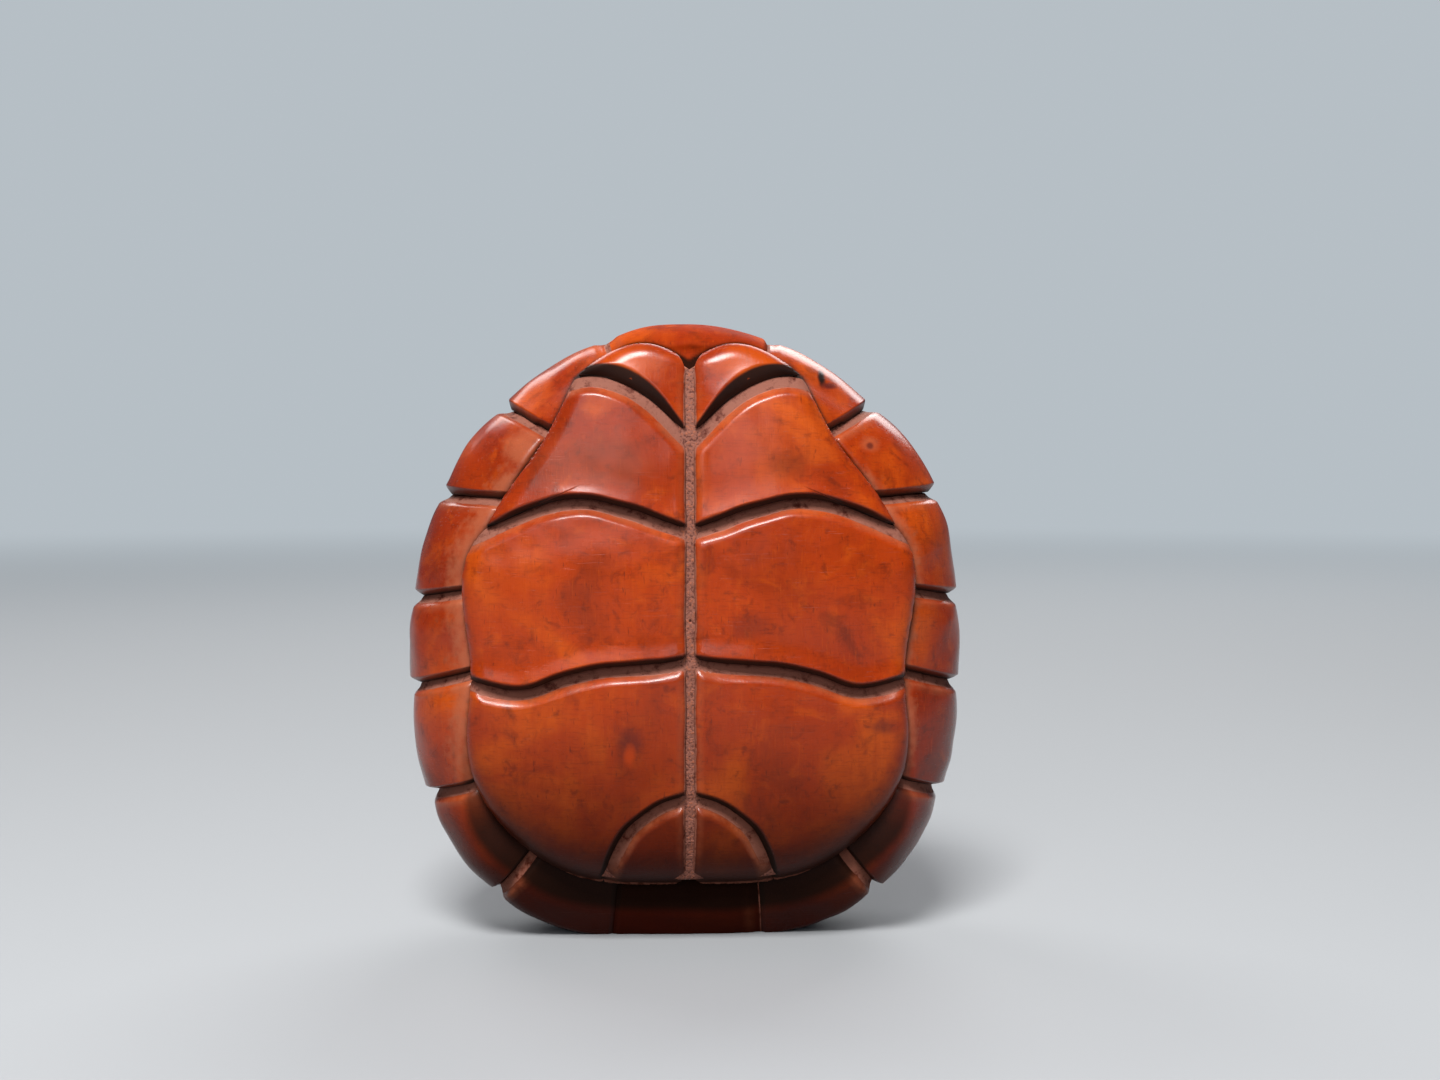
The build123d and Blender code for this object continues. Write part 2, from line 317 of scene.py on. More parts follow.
class NodeBoard:
    # a short way to add and join the nodes of one material or world
    def __init__(self, tree):
        self.tree = tree
        self.tree.nodes.clear()

    # a value or a socket into a socket
    def join(self, value, socket):
        if isinstance(value, bpy.types.NodeSocket):
            self.tree.links.new(value, socket)
        else:
            socket.default_value = value

    # a node with its settings, and its sockets by name, with _ for each blank
    def add(self, kind, settings=(), **sockets):
        node = self.tree.nodes.new(kind)
        for key, value in dict(settings).items():
            setattr(node, key, value)
        for key, value in sockets.items():
            self.join(value, node.inputs[key.replace("_", " ")])
        return node

    # a node whose sockets are filled in their order
    def fill(self, kind, settings, *values):
        node = self.add(kind, settings)
        for socket, value in zip(node.inputs, values):
            self.join(value, socket)
        return node

    def math(self, operation, a, b, clamp=False):
        return self.fill("ShaderNodeMath", dict(operation=operation, use_clamp=clamp), a, b).outputs[0]

    def plus(self, a, b, clamp=False):
        return self.math("ADD", a, b, clamp)

    def times(self, a, b):
        return self.math("MULTIPLY", a, b)

    # one less a value, never below nought
    def rest(self, value):
        return self.math("SUBTRACT", 1.0, value, clamp=True)

    def place(self):
        return self.add("ShaderNodeTexCoord").outputs["Object"]

    def stretched(self, scale, turn, shift):
        return self.add("ShaderNodeMapping", Vector=self.place(), Scale=scale,
                        Rotation=tuple(radians(a) for a in turn), Location=shift).outputs["Vector"]

    def noise(self, where, scale, detail, roughness, distortion=0.0):
        return self.add("ShaderNodeTexNoise", Vector=where, Scale=scale, Detail=detail,
                        Roughness=roughness, Distortion=distortion).outputs["Fac"]

    def attribute(self, name):
        return self.add("ShaderNodeAttribute", dict(attribute_name=name)).outputs["Fac"]

    # an S-shaped step from one value to another
    def ramp(self, value, low, high, start=0.0, end=1.0):
        kind = dict(interpolation_type="SMOOTHSTEP")
        return self.fill("ShaderNodeMapRange", kind, value, low, high, start, end).outputs["Result"]

    # two colours mixed: the node has sockets of several types under each name
    def mix(self, share, first, second):
        node = self.add("ShaderNodeMix", dict(data_type="RGBA"), Factor=share)
        for name, colour in (("A", first), ("B", second)):
            socket = next(s for s in node.inputs if s.name == name and s.type == "RGBA")
            self.join(colour if isinstance(colour, bpy.types.NodeSocket) else (*colour, 1), socket)
        return next(s for s in node.outputs if s.type == "RGBA")

    # coats of colour over a first one: pattern, where it starts and is full, strength, colour
    def tinted(self, colour, tints, patterns):
        for key, start, full, strength, tint in tints:
            share = self.ramp(patterns[key], start, full, 0, strength)
            colour = self.mix(share, colour, woodLook[tint])
        return colour

    # a value made ragged: a pattern about its middle is added to it
    def ragged(self, value, pattern, amount):
        return self.plus(value, self.times(self.math("SUBTRACT", pattern, 0.5), amount))

    # closeness to a place of the piece: 1 near it and 0 at the ragged edge of its radii
    def near(self, centre, radii, pattern, amount):
        moved, scaled, length = (self.add("ShaderNodeVectorMath", dict(operation=operation))
                                 for operation in ("SUBTRACT", "DIVIDE", "LENGTH"))
        self.join(self.place(), moved.inputs[0])
        self.join([c * mm for c in centre], moved.inputs[1])
        self.join(moved.outputs[0], scaled.inputs[0])
        self.join([r * mm for r in radii], scaled.inputs[1])
        self.join(scaled.outputs[0], length.inputs[0])
        return self.ramp(self.ragged(length.outputs["Value"], pattern, amount), 1.0, 0.3)

    def close(self, kind, surface):
        self.add(kind, Surface=surface)

    # the shader of a wood, over its bumps: strength, depth in millimetres
    def closeWood(self, bumps, strength, depth, **sockets):
        bump = self.add("ShaderNodeBump", Height=bumps, Strength=strength, Distance=depth * mm)
        shader = self.add("ShaderNodeBsdfPrincipled", Normal=bump.outputs["Normal"], **sockets)
        self.close("ShaderNodeOutputMaterial", shader.outputs[0])


# A new material and the board that holds its nodes.
def newMaterial(name):
    material = bpy.data.materials.new(name)
    material.use_nodes = True
    return material, NodeBoard(material.node_tree)


# the wood's colours, from the fresh orange stain to what has settled in the grooves; the near-black is
# also painted shade, the smoky brown is the lower end's painted shade, and the pale worn colour also
# paints a little sheen
woodLook = dict(orange=(0.42, 0.040, 0.001), red=(0.27, 0.020, 0.001), brown=(0.075, 0.008, 0.002),
                amber=(0.60, 0.088, 0.003), stain=(0.070, 0.008, 0.007), wornAndSheen=(0.42, 0.115, 0.050),
                dust=(0.27, 0.096, 0.063), pitAndShade=(0.010, 0.004, 0.002), bottomShade=(0.042, 0.005, 0.002))
# cloudy patterns of the varnished wood: scale, detail, roughness, distortion
cloudyPatterns = dict(clouds=(85, 5, 0.55, 0.6), slow=(32, 3, 0.5, 0.3), mottle=(250, 4, 0.6, 0.8),
                      flecks=(620, 4, 0.65, 0.5), speckle=(950, 3, 0.6), patches=(300, 5, 0.7),
                      grime=(700, 5, 0.7), torn=(420, 4, 0.6))
# patterns that follow the grain: stretch, shift, detail, roughness
grainPatterns = dict(grain=((1500, 900, 130), (0, 0, 0), 5, 0.6),
                     fine=((5200, 2500, 420), (0, 0, 0), 3, 0.6),
                     pores=((4200, 3000, 800), (3, 1, 2), 2, 0.5),
                     hatch=((700, 900, 5200), (1, 4, 2), 3, 0.6),
                     scratch=((120, 3000, 9000), (7, 2, 5), 2, 0.5))
woodTints = (("slow", 0.34, 0.68, 1.0, "red"), ("clouds", 0.47, 0.72, 0.9, "amber"),
             ("clouds", 0.50, 0.22, 0.55, "brown"), ("mottle", 0.52, 0.76, 0.55, "brown"),
             ("mottle", 0.46, 0.26, 0.35, "amber"), ("flecks", 0.54, 0.74, 0.50, "brown"),
             ("grain", 0.40, 0.72, 0.22, "red"), ("fine", 0.56, 0.76, 0.22, "amber"),
             ("hatch", 0.50, 0.72, 0.26, "brown"), ("speckle", 0.60, 0.78, 0.35, "brown"),
             ("pores", 0.66, 0.76, 0.5, "brown"))
# painted shade: the lower end of the shell darkened as though turned away from the light above; where it
# starts on the rim and on the belly, and where it is full
bottomShadeLook = dict(rimTop=31, bellyTop=41, bottom=10, uneven=14, strength=0.95)
# what lies over the colour, painted shade among it: strength, or amount of raggedness and start and full
# of a step
coverLook = dict(marks=0.9, wear=0.55, wearPatches=(0.35, 0.62, 0.25, 1.0), hazeRagged=1.2,
                 haze=(0.20, 1.1, 0, 0.70), paintedShade=0.97, dustRagged=0.7, dust=(0.30, 0.75),
                 dustTone=(0.30, 0.52), scratches=(0.66, 0.74))
# the varnish: ranges by the clouds and the slow pattern, and how much the covers take or add
varnishLook = dict(roughness=(0.2, 0.8, 0.23, 0.34), scratched=0.2, hazy=0.2, dusty=0.4,
                   coat=(0.2, 0.8, 0.20, 0.45), coatRoughness=0.21, lowCoat=0.85, gloss=0.19,
                   matte=0.75, index=1.5)
woodBumps = dict(fine=0.35, clouds=0.9, scratches=-0.5, grime=2.5, strength=0.35, depth=0.16)


# Stained and varnished boxwood: amber, orange and red clouds, fine grain, pores, scratches, stains
# and knots at given places, paler worn edges and dust where the piece's attributes say, painted
# shade where they say and towards the lower end, and a few marks of painted sheen.
def varnishedWood(name, grainTurn, marks=(), shadeTop=bottomShadeLook["rimTop"]):
    material, board = newMaterial(name)
    look, cover, varnish = woodLook, coverLook, varnishLook
    plain = board.place()
    pattern = {key: board.noise(plain, *values) for key, values in cloudyPatterns.items()}
    for key, (stretch, shift, detail, roughness) in grainPatterns.items():
        pattern[key] = board.noise(board.stretched(stretch, grainTurn, shift), 1, detail, roughness)
    colour = board.tinted(look["orange"], woodTints, pattern)
    # painted shade: the colour darkens to a smoky brown towards the bottom, and the varnish dulls with it
    height = board.add("ShaderNodeSeparateXYZ", Vector=plain).outputs["Z"]
    height = board.plus(height, board.times(pattern["slow"], bottomShadeLook["uneven"] * mm))
    low = board.ramp(height, shadeTop * mm, bottomShadeLook["bottom"] * mm)
    colour = board.mix(board.times(low, bottomShadeLook["strength"]), colour, look["bottomShade"])
    for centre, radii, tint, strength in marks:
        close = board.near(centre, radii, pattern["torn"], cover["marks"])
        colour = board.mix(board.times(close, strength), colour, look[tint])
    patchy = board.ramp(pattern["patches"], *cover["wearPatches"])
    wear = board.times(board.times(board.attribute("wear"), patchy), cover["wear"])
    colour = board.mix(wear, colour, look["wornAndSheen"])
    hazy = board.ragged(board.attribute("haze"), pattern["speckle"], cover["hazeRagged"])
    hazy = board.ramp(hazy, *cover["haze"])
    colour = board.mix(hazy, colour, look["wornAndSheen"])
    # painted shade: where the piece's attribute says, the colour goes to near-black
    paintedShade = board.attribute("paintedShade")
    colour = board.mix(board.times(paintedShade, cover["paintedShade"]), colour, look["pitAndShade"])
    grime = pattern["grime"]
    dusty = board.ramp(board.ragged(board.attribute("dust"), grime, cover["dustRagged"]), *cover["dust"])
    dustColour = board.mix(board.ramp(grime, *cover["dustTone"]), look["brown"], look["dust"])
    colour = board.mix(dusty, colour, dustColour)
    scratches = board.ramp(pattern["scratch"], *cover["scratches"])
    dull = board.attribute("dull")
    rough = board.ramp(pattern["clouds"], *varnish["roughness"])
    rough = board.plus(rough, board.times(scratches, varnish["scratched"]))
    rough = board.plus(rough, board.times(board.plus(hazy, paintedShade), varnish["hazy"]))
    rough = board.plus(rough, board.times(board.plus(dusty, dull), varnish["dusty"]), clamp=True)
    coat = board.ramp(pattern["slow"], *varnish["coat"])
    for layer in (dusty, paintedShade, dull, board.times(low, varnish["lowCoat"])):
        coat = board.times(coat, board.rest(layer))
    matte = board.times(board.math("MAXIMUM", low, dull), varnish["matte"])
    bumps = board.times(pattern["fine"], woodBumps["fine"])
    bumps = board.plus(bumps, board.times(pattern["clouds"], woodBumps["clouds"]))
    bumps = board.plus(bumps, board.times(scratches, woodBumps["scratches"]))
    bumps = board.plus(bumps, board.times(board.times(grime, dusty), woodBumps["grime"]))
    board.closeWood(bumps, woodBumps["strength"], woodBumps["depth"], Base_Color=colour, Roughness=rough,
                    Specular_IOR_Level=board.times(board.rest(matte), varnish["gloss"]),
                    Coat_Weight=coat, Coat_Roughness=varnish["coatRoughness"], IOR=varnish["index"])
    return material


grooveLook = dict(grime=(900, 5, 0.7), pits=(3300, 2, 0.6), roughness=0.82, strength=0.7, depth=0.25)
grooveTints = (("grime", 0.58, 0.72, 0.8, "brown"), ("pits", 0.54, 0.64, 0.65, "wornAndSheen"),
               ("pits", 0.47, 0.36, 0.75, "brown"))


# Bare carved wood in the bottom of the grooves: matte, pitted, grey-brown with dust.
def grooveWood(name):
    material, board = newMaterial(name)
    look = grooveLook
    pattern = {key: board.noise(board.place(), *look[key]) for key in ("grime", "pits")}
    board.closeWood(board.plus(pattern["grime"], pattern["pits"]), look["strength"], look["depth"],
                    Base_Color=board.tinted(woodLook["dust"], grooveTints, pattern),
                    Roughness=look["roughness"])
    return material


# stains, worn places and knots: centre, radii, colour, strength; on the belly two pale patches are painted
# sheen
bellyMarks = (
    ((-6.8, -19, 24.6), (2.0, 4, 2.5), "stain", 0.60),
    ((-6.8, -19, 22.8), (0.9, 4, 1.9), "orange", 0.75),
    ((21.6, -18, 25.7), (2.6, 4, 1.3), "stain", 0.60),
    ((6.5, -19, 37.5), (3.0, 4, 2.0), "stain", 0.40),
    ((11.0, -19, 55.5), (3.2, 4, 2.2), "brown", 0.40),
    ((-11.0, -19, 57.0), (5.0, 4, 3.0), "stain", 0.28),
    ((18.5, -19, 29.0), (4.0, 4, 2.6), "amber", 0.65),
    ((-10.5, -19, 62.0), (3.0, 4, 2.0), "amber", 0.55),
    ((-7.0, -17, 66.5), (5.5, 9, 3.0), "amber", 0.55),
    ((7.0, -17, 66.5), (5.5, 9, 3.0), "amber", 0.55),
    # painted sheen: two broad pale patches on the humerals
    ((-11.5, -18, 55.4), (9.0, 9, 5.0), "wornAndSheen", 0.16),
    ((10.0, -18, 57.0), (8.0, 9, 6.0), "wornAndSheen", 0.10),
    ((-19.5, -19, 41.0), (3.5, 9, 5.5), "orange", 0.50),
)
rimMarks = (
    ((-18.6, -14, 57.2), (3.0, 14, 2.8), "wornAndSheen", 0.60),
    ((20.6, -14, 57.6), (1.5, 14, 1.2), "wornAndSheen", 0.40),
    ((20.6, -14, 57.4), (0.6, 14, 0.5), "stain", 0.70),
    ((15.3, -11, 65.2), (0.7, 4, 1.4), "pitAndShade", 1.0),
    ((16.2, -11, 64.2), (1.2, 4, 0.6), "stain", 0.80),
)
bellyWood = varnishedWood("bellyWood", (0, 0, 4), bellyMarks, bottomShadeLook["bellyTop"])
rimWood = varnishedWood("rimWood", (0, 0, 0), rimMarks)
backWood = varnishedWood("backWood", (0, 90, 0))
bareWood = grooveWood("grooveWood")
print("woods mixed")

sides = ((1, "right"), (-1, "left"))
# a belly plate: how its edges fall away (width, drop), over which heights the tail edge comes in,
# how the gulars differ, how soft the crown is, the unevenness (height, length) and the grid
plateLook = dict(topBevel=(2.0, 1.15), lowWall=(0.80, 1.35), wallPower=1.35, midEdge=(1.2, 0.80),
                 gularMidEdge=(3.2, 0.85), outerEdge=(1.8, 1.4), tailEdge=(5.2, 2.9), tailFade=(26, 12),
                 gularWall=dict(wider=1.2, deeper=0.4, span=14, power=1.5), deepest=2.4, softness=5,
                 carved=((0.07, 12), (0.012, 3.5)), evenRim=2, wallSteps=(0.2, 0.5, 1.0),
                 around=280, across=60, searched=(0.3, 34, 230))
# what is painted on it: start and end of each step, by the distance from an edge or the height; the shade
# steps are painted shade
platePaint = dict(bevelWear=((0, 0.8), (2.0, 1.3)), midWear=(0.6, 0.6), midWearStrength=0.35,
                  topDust=(1.36, 1.01), topDustFade=(6, 13), midDust=(0.36, 0.06), wallDust=0.6,
                  wallShare=0.95, wallShade=(0, -0.3), midShade=(0.45, 0.10), midShadeStrength=0.45,
                  tailShade=(2.4, 0.2), tailShadeFade=(19, 11), tailShadeStrength=0.85, wallPaintedShade=0.5)
# where the rings of each right-hand plate start, from the top down: x, z
plateCentres = dict(gular=(6.6, 64.6), humeral=(9.5, 54.5), abdominal=(12.2, 41.0),
                    femoral=(13.0, 24.5), anal=(4.0, 12.0))
plateOrder = tuple(plateCentres)
raggedWaves = dict(midline=(5, 61), seam=(4, 62))  # length, seed


# Distances inwards from each of a belly plate's four edges, on its right-hand side: the midline
# groove, the seam above, the seam below and the slab's own edge.
def plateEdges(name, x, z):
    rank = plateOrder.index(name)
    farOff = np.full_like(x, belly["farOff"])
    above = belowSeam(x, z, plateOrder[rank - 1]) if rank > 0 else farOff
    below = -belowSeam(x, z, name) if name in seams else farOff
    gap = between(*belly["midGap"], rise(z, *belly["midNarrowing"]))
    gap = gap + belly["ragged"] * wobble(0, 0, z, *raggedWaves["midline"])
    ragged = belly["ragged"] * wobble(x, 0, z, *raggedWaves["seam"])
    return x - gap, above + ragged, below - ragged, insideSlab(x, z)


# The grid of a belly plate: rings round its middle out to where the distance to its edges is
# nought. Along each ray that place is read off between two tries, and the rings lie closer
# together near the edge, by a square.
def plateGrid(name):
    look = plateLook
    centreX, centreZ = plateCentres[name]
    turns = np.linspace(0, 2 * np.pi, look["around"], endpoint=False)
    radii = np.linspace(*look["searched"])
    tryX = centreX + radii[:, None] * np.sin(turns)
    tryZ = centreZ + radii[:, None] * np.cos(turns)
    mid, above, below, outer = plateEdges(name, tryX, tryZ)
    fade = np.exp(-np.maximum(mid, 0) / belly["cornerFade"])
    soft = between(belly["outerCorner"], belly["innerCorner"], fade)
    edge = softMin(softMin(mid, outer, 2 * soft), softMin(above, below, soft), soft)
    out = np.argmax(edge < 0, axis=0)
    ray = np.arange(len(turns))
    inner, beyond = edge[out - 1, ray], edge[out, ray]
    reach = between(radii[out - 1], radii[out], inner / (inner - beyond))
    share = (1 - np.linspace(1, 0, look["across"]) ** 2)[1:, None]
    return centreX + share * reach * np.sin(turns), centreZ + share * reach * np.cos(turns)


# A belly plate on the bowed face. The upper edge rises out of its groove over a shoulder, the
# lower one swells to a lip and then falls in a steep wall, and the others are rounded: the falls
# are added as the root of their squares. The last rings go down the groove to the seat.
def bellyPlate(name, side, seed):
    look, paint = plateLook, platePaint
    x, z = plateGrid(name)
    mid, above, below, outer = plateEdges(name, x, z)
    wallWidth, wallDrop = look["lowWall"]
    midEdge = look["midEdge"]
    if name == "gular":  # its wall is a deep crescent, widest half way across
        crescent = look["gularWall"]
        arch = np.sin(np.pi * np.clip(x / crescent["span"], 0, 1)) ** crescent["power"]
        wallWidth, wallDrop = wallWidth + crescent["wider"] * arch, wallDrop + crescent["deeper"]
        midEdge = look["gularMidEdge"]
    low = rise(z, *look["tailFade"])
    outerEdge = [between(usual, tail, low) for usual, tail in zip(look["outerEdge"], look["tailEdge"])]
    falls = [roundedEdge(mid, *midEdge), shoulder(above, *look["topBevel"]),
             runOut(below, wallWidth, wallDrop, look["wallPower"]), roundedEdge(outer, *outerEdge)]
    fall = np.minimum(np.sqrt(sum(f ** 2 for f in falls)), look["deepest"])
    slowest = softMin(softMin(mid, outer, look["softness"]), above, look["softness"])
    crown = belly["setback"] + belly["crown"] * rise(slowest, belly["crownReach"], 0)
    lip = belly["lip"] * np.exp(-(below / belly["lipReach"]) ** 2) * rise(z, *belly["lipFade"])
    nearest = np.minimum(np.minimum(mid, outer), np.minimum(above, below))
    carved = unevenness(side * x, 0, z, look["carved"], seed) * rise(nearest, 0, look["evenRim"])
    y = bellyFace(x, z) + fall + crown - lip + carved
    bevelWear = np.prod([straightRise(above, *step) for step in paint["bevelWear"]], axis=0)
    wear = np.maximum(bevelWear, paint["midWearStrength"] * tent(mid, *paint["midWear"]))
    dust = rise(above, *paint["topDust"]) * rise(z, *paint["topDustFade"])
    dust = np.clip(dust + straightRise(mid, *paint["midDust"]), 0, 1)
    # painted shade: near-black on the steep wall under the lower lip, a dark line beside the midline
    # groove, and darkness along the slab's lower edge
    paintedShade = rise(below - paint["wallShare"] * wallWidth, *paint["wallShade"])
    paintedShade = np.maximum(paintedShade, paint["midShadeStrength"] * rise(mid, *paint["midShade"]))
    tailShade = rise(outer, *paint["tailShade"]) * rise(z, *paint["tailShadeFade"])
    paintedShade = np.maximum(paintedShade, paint["tailShadeStrength"] * tailShade)
    # the groove's wall, painted in shade, then the hidden back
    wall = np.ones((len(look["wallSteps"]) + 1, x.shape[1]))
    wallY = np.vstack([y[-1] + np.array(look["wallSteps"])[:, None], frontSeatY * wall[:1]])
    x, z, y = np.vstack([x, x[-1] * wall]), np.vstack([z, z[-1] * wall]), np.vstack([y, wallY])
    wear = np.vstack([wear, 0 * wall])
    dust = np.vstack([dust, paint["wallDust"] * wall])
    paintedShade = np.vstack([paintedShade, np.maximum(paintedShade[-1], paint["wallPaintedShade"]) * wall])
    centreX, centreZ = plateCentres[name]
    rings = np.stack([side * x, y, z], axis=-1)
    poles = [(side * centreX, y[0].mean(), centreZ), (side * centreX, frontSeatY, centreZ)]
    return rings, poles, dict(wear=(wear, (0, 0)), dust=(dust, (0, 1)), paintedShade=(paintedShade, (0, 1)))


for rank, name in enumerate(plateOrder):
    for side, sideName in sides:
        seed = 20 + 10 * rank + side
        makePiece(f"{name}_{sideName}", "belly_wood", bellyWood, *bellyPlate(name, side, seed))
print("belly plates carved")

# the wooden block: the floors of the belly's grooves, and what carries the plates
blockLook = dict(insideEdge=0.9, midFloorWidth=1.4, uneven=((0.04, 2.5), (0.02, 0.9)), seed=5,
                 drawnIn=0.9, backGap=0.5, around=480, across=150)


# The block: rings from the middle of the groove floors out to just inside the slab's edge, down to
# the front seat, then straight back inside the plates and together again at the back.
def blockRings():
    look = blockLook
    turns = np.linspace(0, 2 * np.pi, look["around"], endpoint=False)
    half = np.abs((turns + np.pi) % (2 * np.pi) - np.pi)
    sign = np.where(turns > np.pi, -1, 1)
    share = np.linspace(0, 1, look["across"])[1:, None]
    reach = share * (np.interp(half, slabTurns, slabRadii) - look["insideEdge"])
    x = reach * np.sin(half) * sign
    z = slabMiddle + reach * np.cos(half)
    middle = np.exp(-(x / look["midFloorWidth"]) ** 4)
    depth = between(belly["floorDepth"], belly["midFloorDepth"], middle)
    y = bellyFace(x, z) + depth + unevenness(x, 0, z, look["uneven"], look["seed"])
    blockBackY = backSeatY - look["backGap"]
    backs = np.array([frontSeatY, frontSeatY, blockBackY])[:, None] + 0 * x[-1]
    inwards = np.array([1, look["drawnIn"], look["drawnIn"]])[:, None]
    z = np.vstack([z, between(slabMiddle, z[-1], inwards)])
    rings = np.stack([np.vstack([x, x[-1] * inwards]), np.vstack([y, backs]), z], axis=-1)
    frontPoleY = bellyFace(0, slabMiddle) + belly["floorDepth"]
    return rings, [(0, frontPoleY, slabMiddle), (0, blockBackY, slabMiddle)]


makePiece("shell_block", "groove_wood", bareWood, *blockRings(), {})
print("groove floors cut")

# a rim plate: slopes beside its grooves (width, drop, power), the moat beside the belly slab and
# its width at the tail, the lean of the top plates, the unevenness (height, length) and the grid
rimLook = dict(plateWidth=8.6, upperSlope=(1.5, 0.8), inset=(5.0, 0.45, 1.8), lowerWall=(0.6, 1.05, 1.3),
               seam=(1.3, 0.9, 1.7), moat=(1.0, 0.5), tailMoat=(4.6, 2.4), moatPower=1.8,
               tailTurns=(102, 128), lean=0.3, leanFrom=60.5, leanReach=9, leanShare=0.4,
               pillow=0.12, pillowReach=4, carved=((0.10, 12), (0.045, 4.5)), setback=0.05,
               footGap=0.02, topStrength=0.45, tailStrength=0.3, endDullness=1.0,
               along=96, evenShare=0.35, backRows=34, frontRows=52, capShares=(0.5, 0.85))
# what is painted on it: start and end of each step, by the distance, or in degrees of the turn; the shade
# steps are painted shade
rimPaint = dict(dust=(0, -0.3), dustWidth=1.15, dustPower=0.3, seamDust=(0.6, 0), leftHaze=2.7,
                rightHaze=1.3, hazeFrom=(44, 58), hazeTo=(126, 112), wallShade=(0.6325, 0.0825),
                moatShade=dict(start=0.9, width=0.7, strength=0.25),
                tailShade=dict(start=4.3, width=1.3, strength=0.95), edgeShade=(0.4, 0),
                wear=(1.4, 0.9), wearStrength=0.9)


# A place on a groove across the rim: from the outline inwards by a reach, along the groove's fall.
def onGroove(index, side, reach):
    turn, fall = np.radians(rimGrooves[index])
    x, z = outlinePoint(turn)
    return np.array([side * (x - reach * np.cos(fall)), z - reach * np.sin(fall)])


# A groove across the rim: its outer and its inner end.
def rimGroove(index, side):
    return onGroove(index, side, 0), onGroove(index, side, rimLook["plateWidth"])


# Unit normals of a grid of places: the cross product of its two ways, turned away from a point.
def outwardNormals(grid, inside):
    normal = np.cross(np.gradient(grid, axis=0), np.gradient(grid, axis=1))
    normal /= np.maximum(np.linalg.norm(normal, axis=-1, keepdims=True), nearlyNought)
    return normal * np.sign((normal * (grid - inside)).sum(axis=-1).mean())


# Distance of places from the straight line of a groove.
def fromGroove(x, z, start, end):
    way = (end - start) / np.hypot(*(end - start))
    return np.abs((x - start[0]) * way[1] - (z - start[1]) * way[0])


